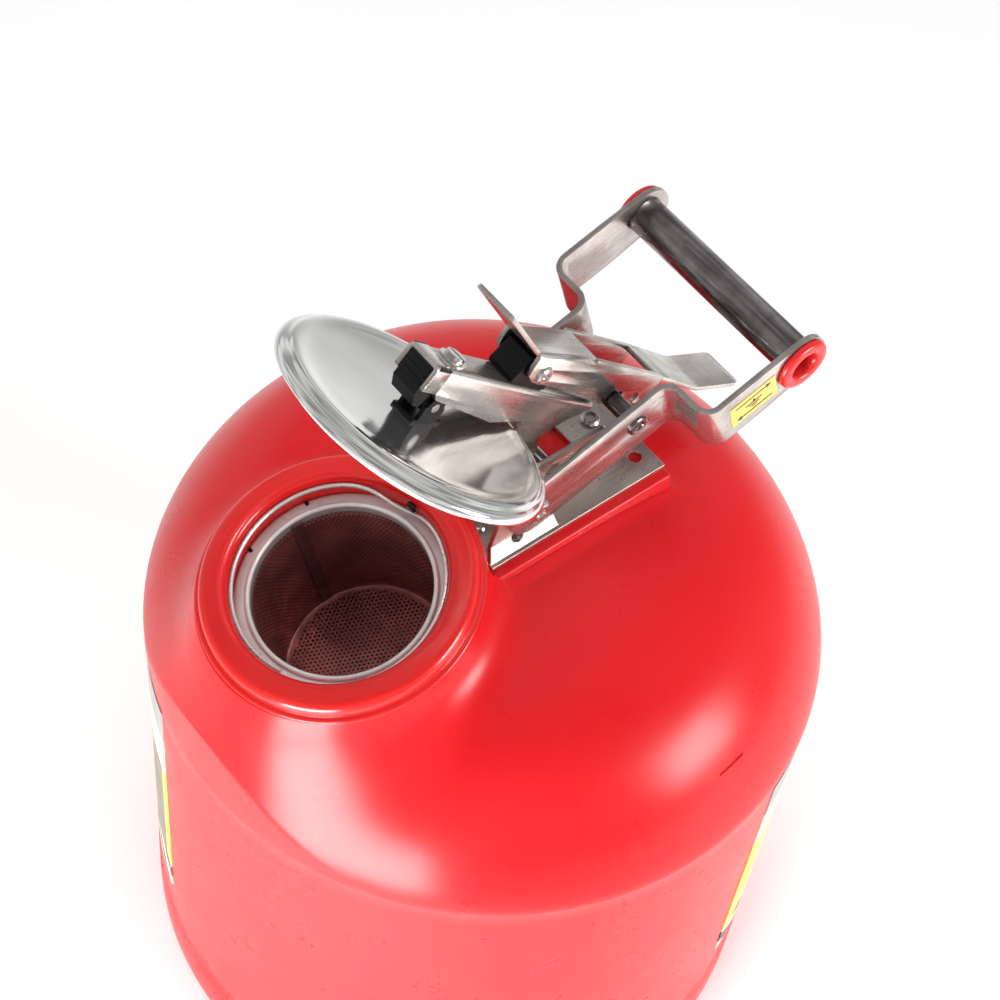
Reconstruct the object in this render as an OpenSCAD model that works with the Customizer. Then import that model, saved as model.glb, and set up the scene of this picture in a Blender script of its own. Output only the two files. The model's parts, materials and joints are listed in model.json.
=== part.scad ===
// Safety gas can: a round plastic can with a wide mouth at the front, a flame arrester in the
// mouth, and a steel lid on a lever. The carrying handle and the lid lever turn on one pin.
// Frame: +Z up, -Y is the front (mouth), origin at the centre of the underside.
// The rest pose is lid open, held by the latch, with the handle leaning back.

/* [Can] */
// Outer radius of the can
can_r = 152.4; // [148:0.2:158]
// Height of the crease where the wall meets the domed top
wall_h = 240; // [236:1:244]
// Rise of the domed top above the crease
dome_h = 80; // [78:1:82]
// Wall thickness of the can
wall_t = 4; // [3:0.5:5]

/* [Mouth] */
// Forward offset of the mouth from the can's axis
mouth_y = 86; // [85.5:0.5:86.5]
// Height of the lip plane at the mouth's centre
mouth_z = 336; // [335.5:0.5:336.5]
// Forward tilt of the mouth
mouth_tilt = 14; // [13:0.5:15]
// Inner radius of the collar
mouth_r = 45; // [44.5:0.25:45.25]
// Outer radius of the collar
collar_r = 60; // [59.5:0.25:60.5]

/* [Arrester] */
// Radius of the arrester basket
basket_r = 37.8; // [37:0.2:38]
// Depth of the basket below the lip plane
basket_depth = 88; // [76:1:90]

/* [Hinge] */
// Distance of the hinge pin in front of the can's axis
pin_y = 5; // [4:0.5:6]
// Height of the hinge pin
pin_z = 347; // [346:0.5:348]
// Radius of the hinge pin
pin_r = 3.5; // [3.2:0.1:3.8]

/* [Lid] */
// Radius of the lid
lid_r = 60.4; // [60:0.2:61]
// Thickness of the lid's sheet
lid_t = 1.2; // [1:0.1:1.4]

/* [Handle] */
// Lean of the handle above the horizontal at rest
handle_lean = 18; // [17:0.5:19]
// Clear length of the grip between the arms
grip_len = 96; // [94:1:98]
// Outer radius of the grip tube
grip_r = 8.5; // [8:0.25:9]

/* [Hidden] */
$fn = 96;

// Shared fits and stock
fit = 0.05;
sheet = 2;
strip = 2.5;
far = 400;

// Can and the raised pad that carries the bracket
dome_n = 3.69;
dome_m = 1.42;
dome_steps = 26;
label_recess = 1;
label_low = 40;
base_round = 12;
plinth_x = 33.5;
plinth_draft = 4;
plinth_front = -33;
plinth_back = 66;
plinth_low = 300;
plinth_top = 325;

// Mouth stack, measured along the mouth's axis from the lip plane
collar_foot = -9;
sleeve_t = 3;
sleeve_low = -24;
bead_z = -13;
bead_wire = 1.2;
foil = 0.7;

// Bracket
plate_x = 29;
plate_front = -28;
plate_back = 66;
plate_top = plinth_top + sheet;
ear_out = 24;
ear_top = pin_z + 9;
rail_in = 14;
rail_front = -12;
rail_back = 40;
rail_top = 359;
screw_spots = [[8, -20], [-8, -20], [8, 55], [-8, 55]];
open_hole = [18.5, 58];
screw_r = 2.5;
insert_r = 4;
insert_depth = 14;

// Hinge stack
pin_half = 28.3;
stop_y = 13;
stop_z = 347.5;
stop_r = 2.5;

// Lid lever channel, in its own frame: +X along the web to the lid, +Y out of the web
lever_angle = 136.3;
lever_half = 8.4;
lever_web = 44.2;
lever_front = 94;
lever_rear = -19;
bolt_at = 85;
bolt_r = 2.5;

// Lid, placed by its centre and tilt at rest
lid_y = -52.7;
lid_z = 415.6;
lid_tilt = -38.3;
tilt_up = 9;
tilt_y = lid_y - tilt_up * sin(lid_tilt);
tilt_z = lid_z + tilt_up * cos(lid_tilt);
tilt_r = 2;

// Latch, in its own frame: +X along the web to the rear, +Y out of the web
latch_y = 3;
latch_z = 412.2;
latch_angle = -37.9;
latch_half = 10.6;
latch_web = 9.4;
latch_pin_r = 2.5;
tab_angle = 155.5;
tab_len = 39;

// Handle, in its own frame: +Y along the arm to the grip, +Z up
arm_in = 24.3;
arm_out = grip_len / 2;
arm_low = -12;
arm_high = 16;
bend_r = 5.5;
joggle_at = 66.6;
grip_at = 121.7;
grip_up = 2.5;
cross_at = 54;
cross_up = 3.6;
cross_r = 4;
rivet_r = 3;

// Neck: a vertical cone whose rear side follows the mouth's axis, cut square under the collar
neck_low = 240;
neck_edge = collar_r + 0.5;
neck_slope = tan(mouth_tilt);
neck_back = on_mouth(neck_edge, collar_foot);
neck_front = on_mouth(-neck_edge, collar_foot);
neck_front_up = neck_front[0] + neck_slope * (neck_back[1] - neck_front[1]);
neck_y = (neck_back[0] + neck_front_up) / 2;
neck_r = (neck_back[0] - neck_front_up) / 2;

function on_mouth(u, v) = [-mouth_y + u * cos(mouth_tilt) - v * sin(mouth_tilt),
    mouth_z + u * sin(mouth_tilt) + v * cos(mouth_tilt)];
function dome_r(t, r) = r * pow(max(cos(t), 0), 2 / dome_n);
function dome_z(t, h) = h * pow(max(sin(t), 0), 2 / dome_m);
function dome_curve(r, h) = [for (i = [0:dome_steps - 1])
    let (t = 90 * i / dome_steps) [dome_r(t, r), wall_h + dome_z(t, h)]];

// Places children on the mouth's axis, with z = 0 at the lip plane
module at_mouth() {
    translate([0, -mouth_y, mouth_z]) rotate([mouth_tilt, 0, 0]) children();
}

// Places children on the lid's axis, with z = 0 at the rim plane
module at_lid() {
    translate([0, lid_y, lid_z]) rotate([lid_tilt, 0, 0]) children();
}

// Places children on the lid lever, a distance along it, with +Z out of the web
module at_lever(along) {
    translate([0, -pin_y, pin_z]) rotate([lever_angle - 180, 0, 0]) translate([0, -along, 0]) children();
}

// Places children on the handle: +Y runs to the grip
module at_handle() {
    translate([0, -pin_y, pin_z]) rotate([handle_lean, 0, 0]) children();
}

// Side profiles, drawn as (Y, Z), in the frames of the lever and of the latch
module lever_frame() {
    translate([-pin_y, pin_z]) rotate(lever_angle) mirror([0, 1]) children();
}

module latch_frame() {
    translate([latch_y, latch_z]) rotate(latch_angle) children();
}

// Extrudes a side profile from x0 to x1
module side_plate(x0, x1) {
    translate([x0, 0, 0]) rotate([90, 0, 90]) linear_extrude(x1 - x0) children();
}

// A shaft or a hole along X
module x_bar(r, x0, x1, y, z) {
    translate([x0, y, z]) rotate([0, 90, 0]) cylinder(r = r, h = x1 - x0);
}

module both_sides() {
    children();
    mirror([1, 0, 0]) children();
}

// A round wire that follows a helix about Z
module coil(r, wire, pitch, turns) {
    sides = 8;
    steps = 20 * turns;
    points = [for (i = [0:steps], k = [0:sides - 1])
        let (a = 360 * turns * i / steps, b = 360 * k / sides, q = r + wire * cos(b))
        [q * cos(a), q * sin(a), pitch * turns * i / steps + wire * sin(b)]];
    skin = [for (i = [0:steps - 1], k = [0:sides - 1]) let (n = (k + 1) % sides)
        [i * sides + k, i * sides + n, (i + 1) * sides + n, (i + 1) * sides + k]];
    start = [for (k = [sides - 1:-1:0]) k];
    end = [for (k = [0:sides - 1]) steps * sides + k];
    polyhedron(points, concat(skin, [start, end]), convexity = 10);
}

module can_outer() {
    wall = can_r - label_recess;
    rotate_extrude() polygon(concat(
        [[0, 4], [105, 4], [109, 0], [can_r - base_round, 0], [can_r - 3.5, 3.5], [can_r, base_round]],
        [[can_r, label_low - 4], [wall, label_low], [wall, wall_h - 5], [can_r, wall_h - 1]],
        dome_curve(can_r, dome_h), [[0, wall_h + dome_h]]));
}

module can_inner() {
    inner = can_r - wall_t - label_recess;
    floor_z = 4 + wall_t;
    rotate_extrude() polygon(concat(
        [[0, floor_z], [inner - base_round, floor_z], [inner, floor_z + base_round]],
        dome_curve(inner, dome_h - wall_t), [[0, wall_h + dome_h - wall_t]]));
}

module plinth() {
    translate([0, plinth_back, 0]) rotate([90, 0, 0]) linear_extrude(plinth_back - plinth_front)
        polygon([[-plinth_x, plinth_top], [plinth_x, plinth_top],
            [plinth_x + plinth_draft, plinth_low], [-plinth_x - plinth_draft, plinth_low]]);
}

// The neck that carries the tilted mouth, drawn in by a distance for its hollow
module neck(inset) intersection() {
    depth = neck_back[1] - neck_low;
    translate([0, neck_y, neck_low])
        cylinder(r1 = neck_r + neck_slope * depth - inset, r2 = neck_r - inset, h = depth);
    at_mouth() translate([-far, -far, collar_foot - inset - far]) cube([2 * far, 2 * far, far]);
    cylinder(r = can_r - 0.3 - inset, h = far);
}

module tank() color([0.86, 0.12, 0.13]) difference() {
    union() {
        can_outer();
        plinth();
        neck(0);
    }
    can_inner();
    intersection() {
        neck(wall_t + label_recess);
        translate([-far, plinth_front - far, 0]) cube([2 * far, far, far]);
    }
    at_mouth() translate([0, 0, -far / 3]) cylinder(r = mouth_r + sleeve_t + fit, h = far / 3 + 1);
    translate([-plate_x - 1, plate_front - 1, plinth_top]) cube([2 * plate_x + 2, 60, 20]);
    for (s = screw_spots)
        translate([s[0], s[1], plinth_top - insert_depth]) cylinder(r = insert_r, h = insert_depth + 1);
}

module neck_collar() color([0.9, 0.14, 0.14]) at_mouth() rotate_extrude() {
    lip = 3.5;
    shoulder = 3.6;
    ledge = 2.4;
    lip_x = mouth_r + lip;
    shoulder_x = collar_r - ledge - shoulder;
    translate([mouth_r, collar_foot]) square([collar_r - mouth_r, 1.6]);
    translate([mouth_r, collar_foot]) square([shoulder_x + shoulder - mouth_r, 4.4]);
    translate([mouth_r, sleeve_low]) square([sleeve_t, -sleeve_low - lip]);
    translate([lip_x, -lip]) circle(lip);
    translate([shoulder_x, -shoulder - 1]) circle(shoulder);
    polygon([[lip_x, collar_foot], [lip_x, 0], [shoulder_x, -1], [shoulder_x, collar_foot]]);
}

// Thin wrap labels on the recessed wall, one at the front left and one at the right
module side_labels() color([0.93, 0.9, 0.74]) {
    label_t = 0.5;
    film_gap = 0.02;
    label_z = 66;
    label_h = 164;
    for (span = [[-125, -16], [109, 190]])
        rotate([0, 0, span[0] - 90]) translate([0, 0, label_z])
            rotate_extrude(angle = span[1] - span[0])
            translate([can_r - label_recess + film_gap, 0]) square([label_t, label_h]);
}

module bracket_rail() {
    side_plate(rail_in, rail_in + sheet) polygon([[rail_front, plinth_top], [rail_front, 351],
        [rail_front + 3, 354], [-2, 355], [4, rail_top], [rail_back - 2, rail_top],
        [rail_back, rail_top - 2], [rail_back, plinth_top]]);
}

module bracket_ear() intersection() {
    side_plate(0, plate_x) polygon([[plate_front, plinth_top], [9, plinth_top],
        [3, ear_top - 2], [1, ear_top], [-11, ear_top], [-21, ear_top - 4]]);
    translate([0, far, 0]) rotate([90, 0, 0]) linear_extrude(2 * far)
        polygon([[plate_x - 1, plinth_top], [ear_out, plinth_top + 9], [ear_out, ear_top + 1],
            [ear_out - sheet, ear_top + 1], [ear_out - sheet, plinth_top + 8.4],
            [plate_x - 3.2, plinth_top]]);
}

module mounting_bracket() color([0.62, 0.6, 0.57]) difference() {
    union() {
        difference() {
            translate([-plate_x, plate_front, plinth_top])
                cube([2 * plate_x, plate_back - plate_front, sheet]);
            translate([-rail_in, rail_front, plinth_top - 1])
                cube([2 * rail_in, rail_back - rail_front, sheet + 2]);
        }
        both_sides() bracket_rail();
        both_sides() bracket_ear();
    }
    for (s = screw_spots)
        translate([s[0], s[1], plinth_top - 1]) cylinder(r = screw_r + 0.3, h = sheet + 2);
    both_sides() translate([open_hole[0], open_hole[1], plinth_top - 1]) cylinder(r = 3, h = sheet + 2);
    x_bar(pin_r, -far, far, -pin_y, pin_z);
    x_bar(stop_r, -far, far, stop_y, stop_z);
    both_sides() x_bar(2.8, rail_in + 6, far, -12, 332.5);
}

module bracket_screws() color([0.7, 0.7, 0.7]) for (s = screw_spots) translate([s[0], s[1], 0]) {
    translate([0, 0, plate_top]) rotate_extrude()
        polygon([[0, 0], [4.6, 0], [4.6, 1.2], [3.4, 2.6], [2.2, 2.8], [2.2, 1.4], [0, 1.4]]);
    translate([0, 0, plinth_top - 10]) cylinder(r = screw_r, h = 10 + sheet + 0.5);
}

module plinth_inserts() color([0.78, 0.65, 0.35]) for (s = screw_spots)
    translate([s[0], s[1], plinth_top - insert_depth]) difference() {
        cylinder(r = insert_r, h = insert_depth);
        translate([0, 0, -1]) cylinder(r = screw_r, h = insert_depth + 2);
    }

module hinge_pin() color([0.75, 0.75, 0.74]) {
    x_bar(pin_r, -pin_half, pin_half, -pin_y, pin_z);
    both_sides() translate([pin_half - 1.2, -pin_y, pin_z]) rotate([0, 90, 0]) rotate_extrude()
        polygon([[0, 0], [6, 0], [5.2, 1.4], [4.2, 2], [2.6, 2], [2.2, 0.8], [0, 0.8]]);
}

module pin_spacers() color([0.66, 0.66, 0.65]) both_sides() difference() {
    x_bar(pin_r + 1.6, lever_half + 0.2, rail_in, -pin_y, pin_z);
    x_bar(pin_r, 0, far, -pin_y, pin_z);
}

module stop_pin() color([0.72, 0.72, 0.71]) {
    x_bar(stop_r, -rail_in - sheet, rail_in + sheet, stop_y, stop_z);
    both_sides() x_bar(4, rail_in + sheet, rail_in + sheet + 1.4, stop_y, stop_z);
}

// Closes the lid when the latch lets go
module return_spring() color([0.5, 0.5, 0.5])
    translate([-4.6, -pin_y, pin_z]) rotate([0, 90, 0]) coil(5.2, 0.75, 1.7, 5.4);

module arrester_basket() color([0.35, 0.2, 0.2]) at_mouth() rotate_extrude() {
    translate([basket_r - foil, -basket_depth]) square([foil, basket_depth + bead_z]);
    translate([0, -basket_depth]) square([basket_r, foil]);
}

module arrester_flange() color([0.7, 0.69, 0.68]) at_mouth() rotate_extrude() {
    rim = mouth_r - 0.1;
    bead_x = basket_r + bead_wire;
    polygon([[basket_r, bead_z - 7], [basket_r + 0.8, bead_z - 7], [basket_r + 0.8, bead_z - 1.8],
        [rim, bead_z - 2], [rim, bead_z - 0.9], [bead_x, bead_z], [basket_r, bead_z]]);
    translate([bead_x, bead_z]) circle(bead_wire);
}

module retaining_ring() color([0.72, 0.72, 0.71]) at_mouth()
    translate([0, 0, -5]) rotate([0, 0, -20])
    rotate_extrude(angle = 328) translate([mouth_r - 1, 0]) circle(0.9);

// Side of the lid lever: the channel's flange and the leg that reaches the hinge pin
module lever_profile() {
    circle(8);
    polygon([[lever_rear, lever_web], [lever_front, lever_web], [lever_front, 33.4],
        [lever_front - 3, 30.4], [45.3, 25.6], [30.9, 28], [24.7, 29], [7.2, -3.4],
        [-7.4, 3], [-2, 17], [4.2, 24],
        [-6, 34], [lever_rear, lever_web - sheet]]);
}

module lid_lever() color([0.72, 0.71, 0.69]) difference() {
    union() {
        both_sides() side_plate(lever_half - sheet, lever_half) lever_frame() lever_profile();
        side_plate(-lever_half, lever_half) lever_frame()
            translate([lever_rear, lever_web - sheet]) square([lever_front - lever_rear, sheet]);
    }
    x_bar(pin_r + fit, -far, far, -pin_y, pin_z);
    at_lever(bolt_at) translate([0, 0, 38]) cylinder(r = bolt_r, h = 12);
}

// Black plastic block in the front of the lever, with a knuckle that holds the lid
module lid_block() color([0.06, 0.06, 0.06]) difference() {
    inner = lever_half - sheet;
    knuckle = 4;
    nose = lever_front + 9;
    union() {
        side_plate(-inner, inner) lever_frame() polygon([[66, lever_web - sheet],
            [nose, lever_web - sheet], [nose, 30], [nose - 4, 25], [95, 25], [93, 33], [66, 36]]);
        side_plate(-lever_half, lever_half) lever_frame() polygon([[lever_front, lever_web],
            [nose - 2, lever_web], [nose, lever_web - 2], [nose, 33], [lever_front, 33]]);
        side_plate(-knuckle, knuckle) {
            lever_frame() polygon([[76, 37], [92, 37], [87, 25.6], [78.4, 25.6]]);
            translate([tilt_y, tilt_z]) circle(4.6);
        }
    }
    x_bar(tilt_r + fit, -far, far, tilt_y, tilt_z);
    at_lever(bolt_at) translate([0, 0, 38]) cylinder(r = bolt_r, h = 12);
}

module block_bolt() color([0.75, 0.75, 0.74]) at_lever(bolt_at) {
    translate([0, 0, 38]) cylinder(r = bolt_r, h = lever_web - 37);
    translate([0, 0, lever_web]) difference() {
        union() {
            cylinder(r = 6, h = 1);
            cylinder(r = 4.2, h = 3);
        }
        translate([-5, -0.6, 2]) cube([10, 1.2, 2]);
    }
}

// Plastic block on the lever that the latch turns on
module latch_block() color([0.05, 0.05, 0.05]) difference() {
    side_plate(-7.4, 7.4) difference() {
        latch_frame() polygon([[-12.3, -5.2], [-8.4, 5.2], [10, 5.2], [14, 1], [13, -20], [-9, -20]]);
        lever_frame() translate([0, -10]) square([100, lever_web + 10]);
    }
    x_bar(latch_pin_r + fit, -far, far, latch_y, latch_z);
}

module latch_rivet() color([0.75, 0.75, 0.74]) {
    x_bar(latch_pin_r, -latch_half - 0.4, latch_half + 0.4, latch_y, latch_z);
    both_sides() translate([latch_half, latch_y, latch_z]) rotate([0, 90, 0]) rotate_extrude()
        polygon([[0, 0], [4.4, 0], [4, 1], [3, 1.6], [1.8, 1.6], [1.5, 0.8], [0, 0.8]]);
}

// Hold-open latch: a channel with a hook over the crossbar, a front tab and a thumb plate
module latch_profile() {
    polygon([[-9.6, latch_web], [30.7, latch_web], [81, 4.7], [88, 4], [86, -11], [82, -14], [68, -14],
        [66, -13], [65.4, -6], [64.5, -5.2], [57.6, -5.2], [56.7, -6], [55, -12.5],
        [24.6, -6.5], [-4.6, -3.8], [-9.6, 3]]);
}

module latch_lever() color([0.72, 0.71, 0.69]) difference() {
    union() {
        both_sides() side_plate(latch_half - sheet, latch_half) latch_frame() latch_profile();
        side_plate(-latch_half, latch_half) latch_frame() {
            translate([-9.6, latch_web - sheet]) square([40.3, sheet]);
            translate([-9.6, latch_web - sheet]) rotate(tab_angle) translate([0, -sheet])
                square([tab_len, sheet]);
            polygon([[81, 4.7], [121.6, -0.2], [153, 4.3], [153, 2.3], [121.6, -2.2], [81, 2.7]]);
        }
    }
    x_bar(latch_pin_r, -far, far, latch_y, latch_z);
    side_plate(-far, far) latch_frame() translate([76.5, -8]) circle(2.6);
}

module lid_cap() color([0.8, 0.8, 0.79]) at_lid() rotate_extrude()
    polygon([[0, 0.4], [12, 0.4], [30, 0.8], [44, 1.6], [52, 2.8], [54.5, 2.8], [56, 1], [58, 0.6],
        [59, -1.6], [60, -2], [lid_r, -1.2], [60.2, 0.6], [59, 1.9], [57, 2.4], [55.8, 4],
        [51.6, 4.1], [43.6, 2.9], [30, 2.1],
        [12, 0.4 + lid_t], [0, 0.4 + lid_t]]);

module lid_gasket() color([0.92, 0.92, 0.9]) at_lid() rotate_extrude()
    polygon([[44.2, -4.6], [44.2, 1.6], [52, 2.8], [54.5, 2.8], [55.6, 1.4], [55.6, -4.6]]);

// Lugs on the lid, either side of the block's knuckle
module lid_clevis() color([0.72, 0.72, 0.71]) difference() {
    lug_foot = 0.4 + lid_t;
    union() {
        both_sides() translate([4.2, 0, 0]) intersection() {
            at_lid() translate([0, -6, 0]) cube([1.8, 12, 20]);
            side_plate(0, 1.8) union() {
                translate([tilt_y, tilt_z]) circle(5);
                translate([lid_y, lid_z]) rotate(lid_tilt) translate([-6, 0]) square([12, tilt_up]);
            }
        }
        at_lid() translate([-6, -9, lug_foot]) cube([12, 18, 1.4]);
    }
    at_lid() translate([-10, -10, lug_foot - 10]) cube([20, 20, 10]);
    x_bar(tilt_r, -far, far, tilt_y, tilt_z);
}

module lid_pin() color([0.75, 0.75, 0.74]) x_bar(tilt_r, -6, 6, tilt_y, tilt_z);

// Plan of one arm's strip: straight past the bracket, a step outwards, straight to the grip
module arm_plan() {
    bend_out = bend_r + strip;
    step_y = joggle_at + bend_r;
    turn_x = arm_out - bend_r;
    translate([arm_in, -30]) square([strip, joggle_at + 30]);
    translate([arm_in + bend_out, joggle_at]) intersection() {
        difference() {
            circle(bend_out);
            circle(bend_r);
        }
        translate([-20, 0]) square(20);
    }
    translate([arm_in + bend_out, step_y]) square([turn_x - arm_in - bend_out, strip]);
    translate([turn_x, step_y + bend_out]) intersection() {
        difference() {
            circle(bend_out);
            circle(bend_r);
        }
        translate([0, -20]) square(20);
    }
    translate([arm_out, step_y + bend_out]) square([strip, 80]);
}

module arm_outline() {
    mid = (arm_low + arm_high) / 2;
    end_r = (arm_high - arm_low) / 2;
    translate([0, mid]) circle(end_r);
    translate([0, arm_low]) square([grip_at - 20, arm_high - arm_low]);
    polygon([[grip_at - 20, arm_low], [grip_at, grip_up - 13], [grip_at, grip_up + 13],
        [grip_at - 20, arm_high]]);
    translate([grip_at, grip_up]) circle(13);
}

module handle_arm() color([0.66, 0.64, 0.61]) at_handle() difference() {
    intersection() {
        translate([0, 0, arm_low - 5]) linear_extrude(60) arm_plan();
        side_plate(0, 80) arm_outline();
    }
    x_bar(pin_r + fit, -far, far, 0, 0);
    x_bar(rivet_r, -far, far, cross_at, cross_up);
    x_bar(grip_r, -far, far, grip_at, grip_up);
}

module handle_arm_right() handle_arm();

module handle_arm_left() mirror([1, 0, 0]) handle_arm();

module grip_tube() color([0.42, 0.4, 0.4]) at_handle() difference() {
    half = arm_out + strip;
    x_bar(grip_r, -half, half, grip_at, grip_up);
    x_bar(grip_r - 1.2, -far, far, grip_at, grip_up);
}

module grip_plugs() color([0.85, 0.1, 0.12]) at_handle() both_sides()
    translate([arm_out + strip, grip_at, grip_up]) rotate([0, 90, 0]) rotate_extrude()
    polygon([[0, -14], [grip_r - 1.2, -14], [grip_r - 1.2, 0], [12, 0], [12.3, 1], [11.6, 3],
        [8.2, 3.4], [6, 2], [5.4, -12], [0, -12]]);

module crossbar() color([0.55, 0.54, 0.53]) at_handle() {
    x_bar(cross_r, -arm_in, arm_in, cross_at, cross_up);
    both_sides() {
        x_bar(rivet_r, arm_in, arm_in + strip, cross_at, cross_up);
        translate([arm_in + strip, cross_at, cross_up]) rotate([0, 90, 0]) rotate_extrude()
            polygon([[0, 0], [5, 0], [4.8, 0.8], [3.8, 1.4], [2.6, 1.2], [2.2, 0.5], [0, 0.5]]);
    }
}

// Bonding-point label on the near arm
module bond_label() color([0.98, 0.85, 0.3]) at_handle()
    translate([arm_out + strip, 84, grip_up - 8]) cube([0.3, 24, 15]);

tank();
neck_collar();
side_labels();
mounting_bracket();
bracket_screws();
plinth_inserts();
hinge_pin();
pin_spacers();
stop_pin();
return_spring();
arrester_basket();
arrester_flange();
retaining_ring();
lid_lever();
lid_block();
block_bolt();
latch_block();
latch_rivet();
lid_cap();
lid_gasket();
lid_clevis();
lid_pin();
handle_arm_left();
handle_arm_right();
grip_tube();
grip_plugs();
crossbar();
bond_label();
latch_lever();
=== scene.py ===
"""Looks of the safety can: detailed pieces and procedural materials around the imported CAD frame."""
import json
import math
import bmesh
import bpy
import numpy as np
from mathutils import Matrix, Vector
from mathutils.geometry import tessellate_polygon

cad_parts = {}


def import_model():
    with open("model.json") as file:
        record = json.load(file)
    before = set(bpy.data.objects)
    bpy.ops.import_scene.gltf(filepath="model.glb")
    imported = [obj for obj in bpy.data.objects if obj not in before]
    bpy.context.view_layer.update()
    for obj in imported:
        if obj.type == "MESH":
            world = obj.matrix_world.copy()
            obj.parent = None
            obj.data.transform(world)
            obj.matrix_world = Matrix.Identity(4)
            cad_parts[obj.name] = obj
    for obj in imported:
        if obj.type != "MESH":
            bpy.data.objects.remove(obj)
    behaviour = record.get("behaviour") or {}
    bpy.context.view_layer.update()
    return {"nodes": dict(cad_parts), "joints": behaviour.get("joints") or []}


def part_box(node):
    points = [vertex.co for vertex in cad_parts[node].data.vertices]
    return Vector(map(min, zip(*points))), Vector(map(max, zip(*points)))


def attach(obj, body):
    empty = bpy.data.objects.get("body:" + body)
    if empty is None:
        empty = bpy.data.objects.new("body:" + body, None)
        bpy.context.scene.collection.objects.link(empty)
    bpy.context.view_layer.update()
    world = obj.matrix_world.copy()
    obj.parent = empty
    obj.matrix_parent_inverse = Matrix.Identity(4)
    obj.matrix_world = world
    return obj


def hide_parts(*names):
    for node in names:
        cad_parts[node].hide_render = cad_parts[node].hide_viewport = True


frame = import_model()

MM = 0.001
TAU = 2 * math.pi

# Angles of the five tilted frames, in degrees about X
MOUTH_TILT = 14.0
LID_TILT = -38.3
LEVER_ANGLE = 136.3
LATCH_ANGLE = -37.9
HANDLE_LEAN = 18.0

# Sizes shared by several pieces, in millimetres
CAN_R = 152.4
WALL_H = 240.0
DOME_H = 80.0
WALL_T = 4.0
BASKET_MID = -50.5
LID_PIN_UP = 9.0
GRIP_U = 121.7
GRIP_V = 2.5

# Mesh finishing: points this close are one (metres), and corners sharper than this are rounded (degrees)
WELD_GAP = 2e-6
CORNER = 40.0


# ---------------------------------------------------------------- frames

class Tilted:
    """A frame turned about X: points are (x, u, v) in mm, with v up, or down when flipped."""

    def __init__(self, origin, angle, flipped=False):
        a = math.radians(angle)
        self.origin = np.array(origin, float)
        self.eu = np.array([0.0, math.cos(a), math.sin(a)])
        self.ev = np.array([0.0, -math.sin(a), math.cos(a)]) * (-1 if flipped else 1)

    def put(self, points):
        p = np.asarray(points, float).reshape(-1, 3) * MM
        return self.origin + p[:, :1] * [1.0, 0, 0] + p[:, 1:2] * self.eu + p[:, 2:] * self.ev

    def along(self, v):
        return self.origin + self.ev * v * MM


def mid(node):
    lo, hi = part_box(node)
    return np.array((lo + hi) / 2)


PIN = np.array([j["pos_m"] for j in frame["joints"] if j["name"] == "handle_swing"][0], float)
ROW = Tilted((0, 0, 0), 0)
MOUTH = Tilted(mid("arrester_basket"), MOUTH_TILT)
MOUTH.origin = MOUTH.along(-BASKET_MID)
LID = Tilted(mid("lid_pin"), LID_TILT)
LID.origin = LID.along(-LID_PIN_UP)
LEVER = Tilted(PIN, LEVER_ANGLE, flipped=True)
LATCH = Tilted(mid("latch_rivet"), LATCH_ANGLE)
HANDLE = Tilted(PIN, HANDLE_LEAN)


# ---------------------------------------------------------------- mesh tools

def finish_mesh(obj, sharp):
    """Bakes the modifiers into the mesh, then shades it smooth except across sharp edges."""
    bpy.context.view_layer.update()
    graph = bpy.context.evaluated_depsgraph_get()
    mesh = bpy.data.meshes.new_from_object(obj.evaluated_get(graph))
    mesh.name = obj.name
    obj.modifiers.clear()
    obj.data = mesh
    mesh.polygons.foreach_set("use_smooth", [True] * len(mesh.polygons))
    mesh.set_sharp_from_angle(angle=math.radians(sharp))


def paint(obj, mat):
    """Gives an object one material."""
    obj.data.materials.clear()
    obj.data.materials.append(mat)


def round_corners(obj, width, segments=2):
    """Bevels the corners of an object; width in millimetres."""
    bevel = obj.modifiers.new("edge", "BEVEL")
    bevel.width = width * MM
    bevel.segments = segments
    bevel.limit_method = "ANGLE"
    bevel.angle_limit = math.radians(CORNER)


def piece(name, verts, faces, mat, body, nodes=(), sharp=32, thick=0.0, edge=0.0, segments=2,
          hint=None):
    """A mesh from points in metres. thick adds sheet behind the surface, edge rounds its corners."""
    mesh = bpy.data.meshes.new(name)
    mesh.from_pydata(np.asarray(verts, float).tolist(), [], [tuple(f) for f in faces])
    obj = bpy.data.objects.new(name, mesh)
    bpy.context.scene.collection.objects.link(obj)
    bm = bmesh.new()
    bm.from_mesh(mesh)
    bmesh.ops.remove_doubles(bm, verts=bm.verts, dist=WELD_GAP)
    if hint is None:
        bmesh.ops.recalc_face_normals(bm, faces=bm.faces)
    else:
        bm.normal_update()
        inward = [f for f in bm.faces if hint(f.calc_center_median(), f.normal) < 0]
        bmesh.ops.reverse_faces(bm, faces=inward)
    bm.to_mesh(mesh)
    bm.free()
    if thick:
        sheet = obj.modifiers.new("sheet", "SOLIDIFY")
        sheet.thickness = thick * MM
        sheet.offset = -1
        sheet.use_even_offset = True
    if edge:
        round_corners(obj, edge, segments)
    finish_mesh(obj, sharp)
    paint(obj, mat)
    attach(obj, body)
    if nodes:
        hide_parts(*nodes)
    return obj


def as_built(centre, normal):
    """The hint for faces that are already wound outwards."""
    return 1


def ring_faces(rings, count, closed=True, offset=0):
    """Quads between successive rings of count points."""
    faces = []
    for i in range(rings - 1):
        a, b = offset + i * count, offset + (i + 1) * count
        for k in range(count if closed else count - 1):
            n = (k + 1) % count
            faces.append((a + k, a + n, b + n, b + k))
    return faces


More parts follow.
